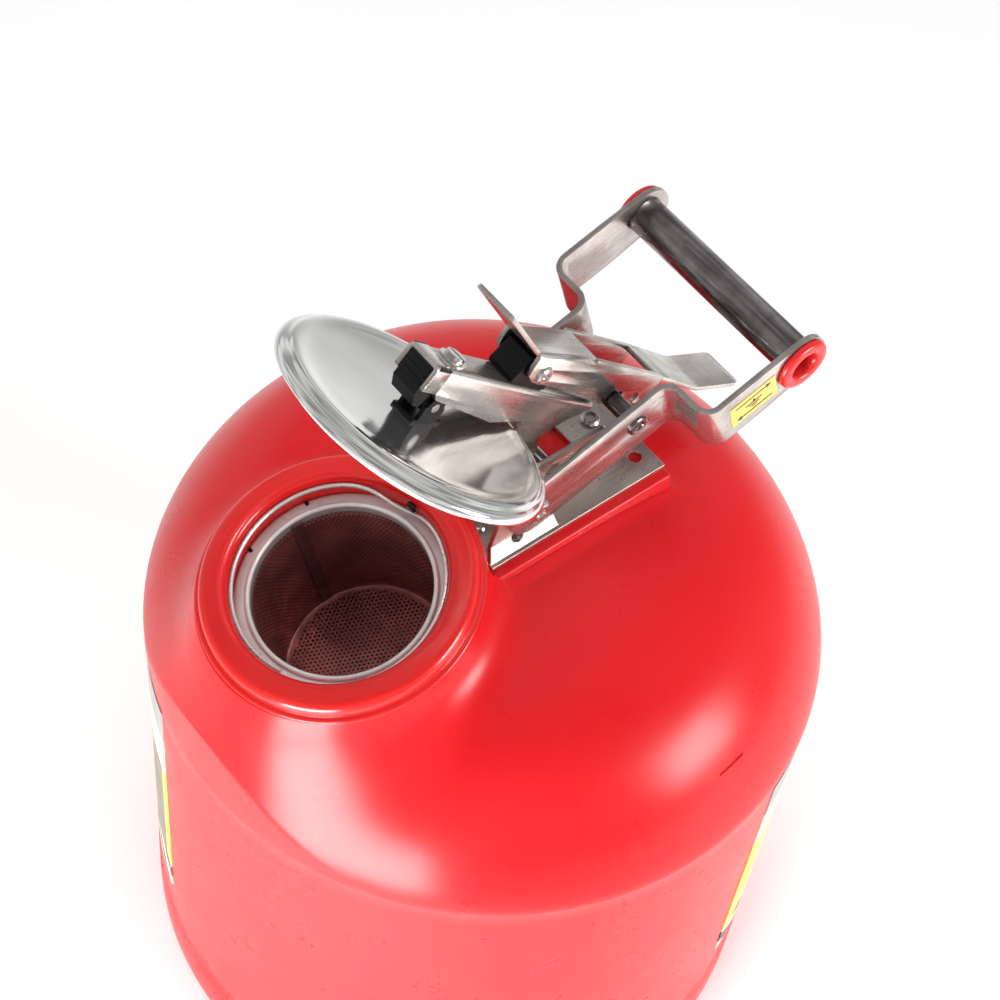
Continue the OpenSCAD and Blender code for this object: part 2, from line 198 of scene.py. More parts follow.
def lathe_mesh(profile, count=160, start=0.0, sweep=360.0, closed_profile=True):
    """Turns a profile of (radius, height) about the local v axis. Returns points (x, u, v) and faces."""
    full = sweep == 360.0
    steps = count if full else count + 1
    prof = list(profile) + ([profile[0]] if closed_profile else [])
    verts = []
    for r, z in prof:
        for k in range(steps):
            a = math.radians(start) + math.radians(sweep) * k / count
            verts.append((r * math.cos(a), r * math.sin(a), z))
    return verts, ring_faces(len(prof), steps, closed=full)


def arc(cx, cy, r, a0, a1, steps=6):
    """Points on a circle from angle a0 to a1, in degrees, both included."""
    angles = [math.radians(a0 + (a1 - a0) * k / steps) for k in range(steps + 1)]
    return [(cx + r * math.cos(a), cy + r * math.sin(a)) for a in angles]


def circle(cx, cy, r, count=28):
    return arc(cx, cy, r, 0, 360, count)[:-1]


class Sheet:
    """Collects the flat patches and bent strips of one folded sheet."""

    def __init__(self):
        self.verts = []
        self.faces = []

    def flat(self, outline, lift, holes=()):
        """A flat patch: outline and holes in 2-D, and lift turns a 2-D point into (x, u, v)."""
        loops = [outline] + list(holes)
        points = [p for loop in loops for p in loop]
        tris = tessellate_polygon([[Vector((p[0], p[1], 0)) for p in loop] for loop in loops])
        base = len(self.verts)
        self.verts += [lift(p) for p in points]
        self.faces += [tuple(base + i for i in t) for t in tris]

    def strip(self, rows):
        """A bent strip through rows of points, each a list of (x, u, v)."""
        base, count = len(self.verts), len(rows[0])
        for row in rows:
            self.verts += row
        self.faces += ring_faces(len(rows), count, closed=False, offset=base)


def tube_mesh(path, radius, sides=14):
    """A round wire along a path of points in mm, with flat ends."""
    path = np.asarray(path, float)
    ways = np.gradient(path, axis=0)
    ways /= np.linalg.norm(ways, axis=1)[:, None]
    up, across = np.array([0.0, 0.0, 1.0]), np.array([1.0, 0, 0])
    verts = []
    for p, d in zip(path, ways):
        a = np.cross(d, up if abs(d @ up) < 0.95 else across)
        a /= np.linalg.norm(a)
        b = np.cross(d, a)
        for k in range(sides):
            w = TAU * k / sides
            verts.append(tuple(p + radius * (math.cos(w) * a + math.sin(w) * b)))
    faces = ring_faces(len(path), sides)
    faces.append(tuple(range(sides)))
    faces.append(tuple(range(len(path) * sides - 1, (len(path) - 1) * sides - 1, -1)))
    return verts, faces


# ---------------------------------------------------------------- materials

class Graph:
    """A small builder for one node material."""

    def __init__(self, name):
        self.mat = bpy.data.materials.new(name)
        self.mat.use_nodes = True
        self.tree = self.mat.node_tree
        self.tree.nodes.clear()
        self.out = self.tree.nodes.new("ShaderNodeOutputMaterial")
        self.bsdf = self.tree.nodes.new("ShaderNodeBsdfPrincipled")
        self.link(self.bsdf.outputs[0], self.out.inputs[0])

    def link(self, a, b):
        self.tree.links.new(a, b)

    def feed(self, socket, value):
        if hasattr(value, "is_output"):
            self.link(value, socket)
        elif value is not None:
            socket.default_value = value

    def set(self, **values):
        for key, value in values.items():
            self.feed(self.bsdf.inputs[key.replace("_", " ")], value)
        return self

    def coords(self, scale=(1, 1, 1), turn=0.0):
        """Object coordinates in metres, turned about X by degrees and then scaled along each axis."""
        tc = self.tree.nodes.new("ShaderNodeTexCoord")
        mp = self.tree.nodes.new("ShaderNodeMapping")
        mp.vector_type = "TEXTURE"
        mp.inputs["Rotation"].default_value = (math.radians(turn), 0, 0)
        mp.inputs["Scale"].default_value = tuple(1.0 / s for s in scale)
        self.link(tc.outputs["Object"], mp.inputs[0])
        return mp.outputs[0]

    def noise(self, scale, detail=3.0, rough=0.55, vector=None, distort=0.0):
        n = self.tree.nodes.new("ShaderNodeTexNoise")
        n.inputs["Scale"].default_value = scale
        n.inputs["Detail"].default_value = detail
        n.inputs["Roughness"].default_value = rough
        n.inputs["Distortion"].default_value = distort
        self.link(vector or self.coords(), n.inputs["Vector"])
        return n.outputs[0]

    def voronoi(self, scale):
        n = self.tree.nodes.new("ShaderNodeTexVoronoi")
        n.inputs["Scale"].default_value = scale
        self.link(self.coords(), n.inputs["Vector"])
        return n.outputs["Distance"]

    def ramp(self, value, lo, hi, a=0.0, b=1.0):
        """Value from lo to hi becomes a to b, softly, and stays there beyond."""
        n = self.tree.nodes.new("ShaderNodeMapRange")
        n.interpolation_type = "SMOOTHSTEP"
        for socket, v in zip(n.inputs[:5], (value, lo, hi, a, b)):
            self.feed(socket, v)
        return n.outputs[0]

    def math(self, op, a, b=None):
        n = self.tree.nodes.new("ShaderNodeMath")
        n.operation = op
        self.feed(n.inputs[0], a)
        if b is not None:
            self.feed(n.inputs[1], b)
        return n.outputs[0]

    def axis(self, index):
        n = self.tree.nodes.new("ShaderNodeSeparateXYZ")
        self.link(self.coords(), n.inputs[0])
        return n.outputs[index]

    def mix(self, factor, a, b):
        n = self.tree.nodes.new("ShaderNodeMix")
        n.data_type = "RGBA"
        self.feed(n.inputs[0], factor)
        for socket, v in ((n.inputs[6], a), (n.inputs[7], b)):
            self.feed(socket, v if hasattr(v, "is_output") else (*v, 1.0))
        return n.outputs[2]

    def bump(self, height, strength, distance, below=None):
        n = self.tree.nodes.new("ShaderNodeBump")
        n.inputs["Strength"].default_value = strength
        n.inputs["Distance"].default_value = distance
        self.link(height, n.inputs["Height"])
        if below is not None:
            self.link(below, n.inputs["Normal"])
        return n.outputs[0]


def plastic(name, main, deep, rough=0.34, grain=0.05, fleck=0.25, glow=0.0, shine=0.5):
    """Moulded plastic: two close tones, a fine pebbled skin, and a few pale scuffs."""
    g = Graph(name)
    cloud = g.noise(9, 4)
    tone = g.mix(g.ramp(cloud, 0.35, 0.7), main, deep)
    scuff = g.math("MULTIPLY", g.ramp(g.noise(420, 2), 0.72, 0.78), g.ramp(g.noise(30, 3), 0.55, 0.7))
    pale = tuple(min(1.0, c * 0.6 + 0.3) for c in main)
    color = g.mix(g.math("MULTIPLY", scuff, fleck), tone, pale)
    skin = g.bump(g.noise(1400, 2), grain, 0.00012)
    wave = g.bump(g.noise(60, 3), grain * 1.2, 0.0008, skin)
    g.set(Base_Color=color, Roughness=g.ramp(g.noise(45, 5), 0.3, 0.75, rough - 0.02, rough + 0.03),
          Normal=wave, Subsurface_Weight=glow, Subsurface_Scale=0.01, Specular_IOR_Level=shine)
    g.bsdf.inputs["Subsurface Radius"].default_value = (1.0, 0.2, 0.1)
    return g.mat


def metal(name, light, dark, rough=(0.22, 0.4), brush=(900, 14, 900), turn=0.0, streak=0.35, dirt=0.25,
          bump=0.025, spots=0.0, metallic=0.93):
    """Sheet or bar metal: brushing lines along one direction, cloudy tone, finger marks and dark specks."""
    g = Graph(name)
    lines = g.noise(1.0, 3, 0.6, g.coords(brush, turn))
    cloud = g.noise(38, 5, 0.6)
    marks = g.noise(150, 4, 0.65, distort=0.6)
    tone = g.mix(g.ramp(cloud, 0.32, 0.68), light, dark)
    tone = g.mix(g.math("MULTIPLY", g.ramp(lines, 0.45, 0.75), streak), tone, tuple(c * 0.7 for c in dark))
    stain = g.math("MULTIPLY", g.ramp(marks, 0.55, 0.72), dirt * 0.7)
    tone = g.mix(stain, tone, tuple(c * 0.55 for c in dark))
    if spots:
        pit = g.math("MULTIPLY", g.ramp(g.voronoi(260), 0.16, 0.08), g.ramp(g.noise(24, 2), 0.5, 0.6))
        tone = g.mix(g.math("MULTIPLY", pit, spots), tone, (0.03, 0.025, 0.02))
    spread = g.math("ADD", g.math("MULTIPLY", lines, 0.5), g.math("MULTIPLY", cloud, 0.5))
    fine = g.bump(lines, bump, 0.00006)
    g.set(Base_Color=tone, Metallic=metallic, Roughness=g.ramp(spread, 0.35, 0.68, rough[0], rough[1]),
          Normal=g.bump(g.noise(26, 2), 0.08, 0.0006, fine))
    return g.mat


def ring_lines(g, scale, centre):
    """Fine turning lines: waves by the distance from centre, which are rings on a flat disc."""
    tc = g.coords()
    sub = g.tree.nodes.new("ShaderNodeVectorMath")
    sub.operation = "SUBTRACT"
    g.link(tc, sub.inputs[0])
    sub.inputs[1].default_value = tuple(centre)
    length = g.tree.nodes.new("ShaderNodeVectorMath")
    length.operation = "LENGTH"
    g.link(sub.outputs[0], length.inputs[0])
    return g.math("SINE", g.math("MULTIPLY", length.outputs["Value"], scale))


def polished(name):
    """Polished sheet with faint turning lines, haze, fine scratches and a slow waviness."""
    g = Graph(name)
    cloud = g.noise(20, 4)
    haze = g.noise(90, 5, 0.65, distort=1.2)
    tone = g.mix(g.ramp(cloud, 0.3, 0.7), (0.88, 0.875, 0.86), (0.76, 0.75, 0.735))
    lines = ring_lines(g, 9000, LID.origin)
    scratch = g.ramp(g.noise(1.0, 4, 0.7, g.coords((500, 40, 700), 25)), 0.66, 0.74)
    base = g.bump(lines, 0.012, 0.00004)
    g.set(Base_Color=tone, Metallic=0.96,
          Roughness=g.math("ADD", g.ramp(haze, 0.4, 0.75, 0.11, 0.19), g.math("MULTIPLY", scratch, 0.06)),
          Normal=g.bump(g.noise(16, 2), 0.3, 0.0014, base))
    return g.mat


def printed(name, colour):
    """Printed film: colour builds the print from the graph, under a faint sheen."""
    g = Graph(name)
    fine = g.bump(g.noise(500, 3), 0.05, 0.0001)
    g.set(Base_Color=colour(g), Roughness=g.ramp(g.noise(70, 4), 0.3, 0.7, 0.3, 0.46), Normal=fine)
    return g.mat


def wrap_print(g):
    """Bands, blocks and slanted stripes of a generic wrap label, by height and by angle round the can."""
    stripes_top, block_top, cream_top, soft = 0.0885, 0.175, 0.205, 0.0004
    z = g.axis(2)
    around = g.math("ARCTAN2", g.axis(1), g.axis(0))
    worn = g.noise(60, 4)
    cream = g.mix(g.ramp(worn, 0.3, 0.7), (0.86, 0.82, 0.6), (0.8, 0.75, 0.5))
    upper = g.ramp(z, cream_top, cream_top + soft)
    lower = g.ramp(z, stripes_top, stripes_top + soft)
    block = g.math("MULTIPLY", lower, g.ramp(z, block_top + soft, block_top))
    tone = g.mix(block, cream, (0.9, 0.66, 0.1))
    slant = g.math("SINE", g.math("ADD", g.math("MULTIPLY", around, 46.0), g.math("MULTIPLY", z, 300.0)))
    band = g.math("MULTIPLY", g.ramp(slant, -0.03, 0.03), g.math("SUBTRACT", 1.0, lower))
    tone = g.mix(band, tone, (0.05, 0.05, 0.05))
    panel = g.math("SINE", g.math("MULTIPLY", around, 12.0))
    dark = g.math("MULTIPLY", g.ramp(panel, 0.58, 0.6), g.math("MULTIPLY", block, 0.9))
    tone = g.mix(dark, tone, (0.13, 0.13, 0.14))
    return g.mix(upper, tone, (0.34, 0.34, 0.33))


def yellow_print(g):
    """Slightly uneven yellow film."""
    return g.mix(g.ramp(g.noise(120, 4), 0.35, 0.7), (0.82, 0.58, 0.11), (0.74, 0.5, 0.09))


def rubber(name, main, dark):
    """A dull surface in two close tones: rubber, or printed ink."""
    g = Graph(name)
    tone = g.mix(g.ramp(g.noise(50, 4), 0.35, 0.7), main, dark)
    g.set(Base_Color=tone, Roughness=g.ramp(g.noise(200, 3), 0.3, 0.7, 0.45, 0.62),
          Normal=g.bump(g.noise(900, 2), 0.08, 0.0001))
    return g.mat


def painted_shade_metal(name, light, dark):
    """Perforated sheet, tinted dark and red by painted shade and a painted reflection of the red mouth round
    it.
    """
    g = Graph(name)
    # Patchy noise between the lighter and the darker painted shade
    shade_cloud = g.noise(45, 3)
    tone = g.mix(g.ramp(shade_cloud, 0.35, 0.65), light, dark)
    g.set(Base_Color=tone, Metallic=0.5, Roughness=g.ramp(g.noise(160, 4), 0.3, 0.7, 0.34, 0.52),
          Normal=g.bump(g.noise(600, 2), 0.1, 0.0001))
    return g.mat


RED = plastic("red_polyethylene", (0.60, 0.009, 0.0125), (0.572, 0.008, 0.0115), rough=0.29, grain=0.012,
              fleck=0.0, glow=0.06, shine=0.24)
COLLAR_RED = plastic("collar_polyethylene", (0.63, 0.012, 0.011), (0.585, 0.0105, 0.0105), rough=0.2,
                     grain=0.02, fleck=0.0, glow=0.03, shine=0.42)
PLUG_RED = plastic("plug_plastic", (0.66, 0.012, 0.012), (0.52, 0.01, 0.01), rough=0.28)
BLACK = plastic("black_moulding", (0.009, 0.008, 0.008), (0.004, 0.004, 0.004), rough=0.34, grain=0.12,
                fleck=0.05, shine=0.22)
SHEET_STEEL = metal("bracket_sheet", (0.72, 0.66, 0.615), (0.56, 0.505, 0.46), (0.24, 0.4), (700, 16, 700), 0,
                    dirt=0.4, spots=0.7)
ARM_STEEL = metal("arm_strip", (0.62, 0.555, 0.525), (0.38, 0.33, 0.31), (0.2, 0.36), (700, 16, 700),
                  HANDLE_LEAN, dirt=0.45, spots=0.5)
LEVER_STEEL = metal("lever_sheet", (0.67, 0.625, 0.585), (0.46, 0.415, 0.385), (0.2, 0.34), (700, 18, 700),
                    LEVER_ANGLE, dirt=0.3)
LATCH_STEEL = metal("latch_sheet", (0.70, 0.665, 0.62), (0.48, 0.44, 0.405), (0.2, 0.34), (700, 18, 700),
                    LATCH_ANGLE, dirt=0.3)
FLANGE_STEEL = metal("flange_sheet", (0.74, 0.71, 0.70), (0.62, 0.57, 0.555), (0.36, 0.48), (300, 300, 300),
                     streak=0.1, dirt=0.12, bump=0.02, metallic=0.3)
TURNED = metal("turned_steel", (0.66, 0.64, 0.62), (0.4, 0.38, 0.36), (0.16, 0.3), (60, 900, 900), dirt=0.5)
WIRE = metal("drawn_wire", (0.76, 0.74, 0.725), (0.64, 0.62, 0.605), (0.26, 0.36), (400, 400, 400),
             streak=0.05, dirt=0.0, bump=0.01, metallic=0.7)
TUBE = metal("grip_tube_steel", (0.31, 0.295, 0.295), (0.13, 0.115, 0.115), (0.15, 0.24), (16, 420, 420),
             streak=0.6, dirt=0.4)
BRASS = metal("turned_brass", (0.72, 0.55, 0.25), (0.55, 0.4, 0.16), (0.25, 0.4), (500, 500, 500))
POLISHED = polished("polished_lid")
RUBBER = rubber("white_gasket", (0.84, 0.83, 0.8), (0.74, 0.73, 0.7))
# Painted shade and painted red reflection: the basket's steel is coloured dark red for the shade inside the
# neck and the red walls round it
MESH_PAINTED_SHADE = painted_shade_metal("perforated_sheet_painted_shade", (0.48, 0.17, 0.16), (0.3, 0.10, 0.095))
# The seam's colour is a darker painted shade in its lap, with the same painted red reflection
SEAM_PAINTED_SHADE = painted_shade_metal("seam_sheet_painted_shade", (0.2, 0.08, 0.08), (0.14, 0.05, 0.05))
WRAP = printed("wrap_label", wrap_print)
YELLOW = printed("yellow_film", yellow_print)
INK = rubber("label_ink", (0.02, 0.02, 0.02), (0.045, 0.04, 0.03))


# ---------------------------------------------------------------- can

# The domed top: powers of the radius and of the height, in the curve that both follow
DOME_N = 3.69
DOME_M = 1.42
# The neck under the collar, in the mouth's frame, and the fillet that joins it to the dome
COLLAR_FOOT = -9.0
NECK_EDGE = 60.5
HOLE_EDGE = 51.0
BLEND = 16.0
# Inside this circle round the mouth, the shell is cut off flat under the collar
MOUTH_Y = -80.0
MOUTH_REACH = 75.0
# The raised pad, and the bracket's plate on it, which the neck stays clear of
PAD_X = 33.5
PAD_FRONT = -33.0
PAD_BACK = 66.0
PAD_TOP = 325.0
PLATE_X = 31.0
PLATE_FRONT = -32.0
# The soft rise of the shell beside the pad, and how far the neck has to be away for it to start and be whole
PAD_RISE = 1.6
PAD_SPREAD = 2.6
PAD_GAP = 1.5
NECK_START, NECK_WHOLE = 4.0, 12.0
# The wall's outline stands on the ground on a foot ring; LABEL_R is the recess that the labels lie in
LABEL_R = CAN_R - 1.0
FOOT = [(105, 4), (107.5, 2.6), (109, 0.3), (111, 0), (138, 0), (144, 0.7), (148.6, 3.3), (151.4, 7.4),
        (152.3, 12), (CAN_R, 16), (CAN_R, 36), (LABEL_R, 40)]
FOOT_TOP = 4.0
# The shell's rows have this many points, and are cast from a point below the mouth, level with the wall's top
AROUND = 320
EYE = np.array([0.0, -70.0, WALL_H])
CAST_START, CAST_END, CAST_STEP = 20.0, 250.0, 2.0


def neck_cone():
    """A vertical cone that follows the mouth's rear: its axis, top radius, top height and slope."""
    ends = MOUTH.put([(0, NECK_EDGE, COLLAR_FOOT), (0, -NECK_EDGE, COLLAR_FOOT)]) / MM
    slope = math.tan(math.radians(MOUTH_TILT))
    rear, height = ends[0][1], ends[0][2]
    front = ends[1][1] + slope * (height - ends[1][2])
    return (rear + front) / 2, (rear - front) / 2, height, slope


def dome_gap(p):
    """Roughly how far points lie outside the domed top, in mm."""
    rho = np.hypot(p[..., 0], p[..., 1]) / CAN_R
    up = np.maximum(p[..., 2] - WALL_H, 0) / DOME_H
    value = rho ** DOME_N + up ** DOME_M - 1
    steep = np.hypot(DOME_N / CAN_R * rho ** (DOME_N - 1), DOME_M / DOME_H * up ** (DOME_M - 1))
    return value / np.maximum(steep, 1e-3)


def neck_gap(p):
    """Roughly how far points lie outside the flared neck under the collar, in mm."""
    axis_y, top_r, height, slope = neck_cone()
    side = np.hypot(p[..., 0], p[..., 1] - axis_y) - top_r - slope * (height - p[..., 2])
    over = (p - MOUTH.origin / MM) @ MOUTH.ev - COLLAR_FOOT
    return np.maximum(side * math.cos(math.radians(MOUTH_TILT)), over)


def shell_gap(p):
    """Dome and neck joined by a fillet, kept inside the wall's radius and clear of the bracket's plate."""
    x, y, z = p[..., 0], p[..., 1], p[..., 2]
    a, b = dome_gap(p), neck_gap(p)
    soft = np.maximum(BLEND - np.abs(a - b), 0) / BLEND
    joined = np.minimum(a, b) - soft ** 2 * BLEND / 4
    flat_top = (p - MOUTH.origin / MM) @ MOUTH.ev - COLLAR_FOOT
    joined = np.where(np.hypot(x, y - MOUTH_Y) < MOUTH_REACH, np.maximum(joined, flat_top), joined)
    clear = np.minimum(np.minimum(PLATE_X - np.abs(x), y - PLATE_FRONT), z - PAD_TOP)
    return np.maximum(np.maximum(joined, np.hypot(x, y) - CAN_R + 0.1), clear)


def cast(ways):
    """First points where rays from EYE leave the shell: found in steps, then by halving."""
    hi = np.full(ways.shape[:-1], CAST_START)
    for t in np.arange(CAST_START, CAST_END, CAST_STEP):
        hi = np.where((hi >= t) & (shell_gap(EYE + ways * t) < 0), t + CAST_STEP, hi)
    lo = hi - CAST_STEP
    for _ in range(14):
        t = (lo + hi) / 2
        inside = shell_gap(EYE + ways * t[..., None]) < 0
        lo, hi = np.where(inside, t, lo), np.where(inside, hi, t)
    return EYE + ways * lo[..., None]


def hole_elevation(turn):
    """The elevation of the hole's edge above EYE, in the directions turn."""
    w = np.linspace(0, TAU, 721)
    edge = np.stack([HOLE_EDGE * np.cos(w), HOLE_EDGE * np.sin(w), np.full(w.shape, COLLAR_FOOT)], -1)
    off = MOUTH.put(edge) / MM - EYE
    way = np.arctan2(off[:, 1], off[:, 0])
    rise = np.arctan2(off[:, 2], np.hypot(off[:, 0], off[:, 1]))
    order = np.argsort(way)
    return np.interp(turn, way[order], rise[order], period=TAU)


def pad_fillet(top):
    """How far the shell rises beside the pad, where the neck doesn't reach."""
    beyond = np.maximum(PAD_FRONT - top[..., 1], top[..., 1] - PAD_BACK)
    aside = np.maximum(np.abs(top[..., 0]) - PAD_X - PAD_GAP, beyond)
    free = np.clip((neck_gap(top) - NECK_START) / (NECK_WHOLE - NECK_START), 0, 1)
    return free * PAD_RISE * np.exp(-(np.maximum(aside, 0) / PAD_SPREAD) ** 2)


def can_shell():
    """The can's shell in rows of points: foot ring, label wall, then the cast dome up to the hole."""
    az = np.arange(AROUND) * TAU / AROUND
    wall = [(LABEL_R, z) for z in np.linspace(48, 235, 24)] + [(CAN_R - 0.2, 238.2), (CAN_R - 0.1, 239.4)]
    rows = [np.stack([r * np.cos(az), r * np.sin(az), np.full(az.shape, z)], -1) for r, z in FOOT + wall]
    turn = np.arctan2(CAN_R * np.sin(az) - EYE[1], CAN_R * np.cos(az))
    share = np.concatenate([np.linspace(0, 0.08, 9), np.linspace(0.08, 1, 120)[1:]])
    el = share[:, None] * hole_elevation(turn)[None, :]
    top = cast(np.stack([np.cos(el) * np.cos(turn), np.cos(el) * np.sin(turn), np.sin(el)], -1))
    top[..., 2] += pad_fillet(top)
    rows += list(top)
    verts = np.concatenate(rows + [[[0, 0, FOOT_TOP]]])
    base = [((k + 1) % AROUND, k, len(verts) - 1) for k in range(AROUND)]
    faces = ring_faces(len(rows), AROUND) + base
    return piece("can_shell", verts * MM, faces, RED, "can", ["tank"], thick=WALL_T, sharp=60,
                 hint=as_built)


def pad():
    """The raised pad under the bracket, with rounded edges."""
    low, draft = 305.0, 3.4
    verts = []
    for x, z in ((PAD_X + draft, low), (PAD_X, PAD_TOP)):
        verts += [(-x, PAD_FRONT, z), (x, PAD_FRONT, z), (x, PAD_BACK, z), (-x, PAD_BACK, z)]
    faces = ring_faces(2, 4) + [(3, 2, 1, 0), (4, 5, 6, 7)]
    return piece("bracket_pad", ROW.put(verts), faces, RED, "can", edge=1.1, segments=4)


def fill_mark():
    """A raised line on the shoulder, at the level the can is filled to."""
    up, line_r = 33.0, 0.7
    rho = CAN_R * (1 - (up / DOME_H) ** DOME_M) ** (1 / DOME_N)
    path = [(rho * math.cos(a), rho * math.sin(a), WALL_H + up) for a in np.radians(np.linspace(5, 11, 15))]
    verts, faces = tube_mesh(path, line_r, 8)
    return piece("fill_mark", ROW.put(verts), faces, RED, "can")


def collar():
    """The lip ring of the mouth: a round inner lip, a sloping top and a small step at its foot."""
    profile = [(45, -24), (45, -5), (45.3, -3.2), (46.1, -1.4), (47.3, -0.3), (48.7, 0), (50.2, -0.15),
               (52, -0.6), (53.6, -0.9), (54.9, -1.2), (56.1, -1.9), (57, -3.2), (57.5, -4.8), (57.6, -6.6),
               (57.9, -7.3), (58.7, -7.5), (59.5, -7.7), (59.95, -8.3), (60, COLLAR_FOOT), (48, COLLAR_FOOT),
               (48, -24)]
    verts, faces = lathe_mesh(profile, 220)
    return piece("neck_collar_moulding", MOUTH.put(verts), faces, COLLAR_RED, "can",
                 ["neck_collar"], sharp=50)


def small_block(name, tilted, centre, half, mat, body):
    """A small block with rounded edges, from its centre and half sizes along (x, u, v)."""
    x, u, v = centre
    a, b, c = half
    pts = [(x + i * a, u + j * b, v + k * c) for i in (-1, 1) for j in (-1, 1) for k in (-1, 1)]
    faces = [(0, 1, 3, 2), (4, 6, 7, 5), (0, 4, 5, 1), (2, 3, 7, 6), (0, 2, 6, 4), (1, 5, 7, 3)]
    return piece(name, tilted.put(pts), faces, mat, body, edge=min(half) * 0.5, segments=3)


# ---------------------------------------------------------------- arrester

BASKET_R = 37.8
BASKET_LOW = -88.0
BEAD_R = 39.0
BEAD_V = -13.0
PITCH = 2.0
ROW_PITCH = PITCH * math.sqrt(3) / 2
HOLE_R = 0.56


def perforated(columns, rows, place, keep=lambda cx, cy: True):
    """Staggered round holes in a sheet: each cell is six quads round a hexagonal hole."""
    outer = [(-0.5, -0.5), (0, -0.5), (0.5, -0.5), (0.5, 0.5), (0, 0.5), (-0.5, 0.5)]
    rim = [math.radians(a) for a in (210, 270, 330, 30, 90, 150)]
    verts, faces = [], []
    for row in range(rows):
        for col in range(columns):
            cx, cy = (col + 0.5 * (row % 2)) * PITCH, row * ROW_PITCH
            if not keep(cx, cy):
                continue
            base = len(verts)
            verts += [place(cx + a * PITCH, cy + b * ROW_PITCH) for a, b in outer]
            verts += [place(cx + HOLE_R * math.cos(a), cy + HOLE_R * math.sin(a)) for a in rim]
            faces += [(base + k, base + (k + 1) % 6, base + 6 + (k + 1) % 6, base + 6 + k) for k in range(6)]
    return verts, faces


def arrester_wall():
    """The basket's perforated wall, rolled round the mouth's axis."""
    wall_r = BASKET_R - 0.35
    columns = round(TAU * wall_r / PITCH)
    turn = columns * PITCH
    rows = int((BEAD_V - BASKET_LOW - 3) / ROW_PITCH)

    def on_wall(x, y):
        a = TAU * x / turn
        return (wall_r * math.cos(a), wall_r * math.sin(a), BASKET_LOW + 1.6 + y)
    verts, faces = perforated(columns, rows, on_wall)
    piece("arrester_wall", MOUTH.put(verts), faces, MESH_PAINTED_SHADE, "can", ["arrester_basket"])


def arrester_disc():
    """The basket's perforated bottom."""
    half = BASKET_R - 0.6
    count = int(2 * half / PITCH) + 2

    def on_disc(x, y):
        return (x - half, y - half, BASKET_LOW + 0.5)

    def within(cx, cy):
        return math.hypot(cx - half, cy - half) < half - 1.3
    verts, faces = perforated(count, int(count * 1.16) + 2, on_disc, within)
    piece("arrester_disc", MOUTH.put(verts), faces, MESH_PAINTED_SHADE, "can")


def arrester_hem():
    """The folded hem that joins the disc to the wall."""
    low, disc_r = BASKET_LOW, BASKET_R - 0.6
    hem = [(disc_r - 2.4, low + 0.3), (disc_r - 2.4, low), (BASKET_R - 0.4, low), (BASKET_R, low + 0.4),
           (BASKET_R, low + 2.2), (BASKET_R - 0.5, low + 2.2), (BASKET_R - 0.6, low + 0.8),
           (disc_r - 1, low + 0.4)]
    verts, faces = lathe_mesh(hem, 120)
    piece("arrester_hem", MOUTH.put(verts), faces, MESH_PAINTED_SHADE, "can")


def arrester_seam():
    """The lapped seam of the rolled wall, coloured with a darker painted shade."""
    inner, outer, low, high = BASKET_R - 1.1, BASKET_R - 0.5, BASKET_LOW + 1, BEAD_V - 1
    section = [(outer, low), (inner, low), (inner, high), (outer, high)]
    verts, faces = lathe_mesh(section, 6, 170, 8)
    n = len(verts) // (len(section) + 1)
    faces += [tuple(i * n for i in range(4)), tuple(i * n + n - 1 for i in range(3, -1, -1))]
    piece("arrester_seam", MOUTH.put(verts), faces, SEAM_PAINTED_SHADE, "can")


def arrester_flange():
    """The flange that hangs the basket in the neck, with its rolled bead, and thin black blocks as painted
    shade in its two punched notches.
    """
    bead = arc(BEAD_R, BEAD_V, 1.2, -30, 225, 17)
    skirt = [(BASKET_R, -20), (BASKET_R + 0.8, -20), (BASKET_R + 0.8, -14.8), (44.2, -15), (44.9, -14.9),
             (44.9, -14.2), (44.5, -13.7), (43.2, -13.4), (41.2, -13.5)]
    verts, faces = lathe_mesh(skirt + bead, 180)
    piece("arrester_collar", MOUTH.put(verts), faces, FLANGE_STEEL, "can", ["arrester_flange"],
          sharp=50)
    notch_r = 43.6
    # Painted shade: each punched notch is drawn as a thin black block where only shade shows through it
    for i, a in enumerate(np.radians((163.0, 204.0))):
        centre = (notch_r * math.cos(a), notch_r * math.sin(a), -13.3)
        small_block("flange_notch_%d" % i, MOUTH, centre, (1.0, 0.8, 0.25), BLACK, "can")


def retaining_wire():
    """The open wire ring over the flange, with the dip that a finger pulls and a clip on it."""
    start, end, dip_at, wire_r = -22, 292, 108, 0.9
    path = []
    for a in np.linspace(start, end, 150):
        dip = math.exp(-((a - dip_at) / 17.0) ** 2)
        end_dip = math.exp(-((a - start) / 40.0) ** 2)
        r, w = 43.9 - 2.0 * dip, math.radians(a)
        path.append((r * math.cos(w), r * math.sin(w), -4.6 - 5.4 * dip - 3.0 * end_dip))
    verts, faces = tube_mesh(path, wire_r, 14)
    piece("retaining_wire", MOUTH.put(verts), faces, WIRE, "can", ["retaining_ring"])
    small_block("wire_clip", MOUTH, (-7.6, 42.9, -6.4), (1.9, 1.0, 2.4), BLACK, "can")


# ---------------------------------------------------------------- lid

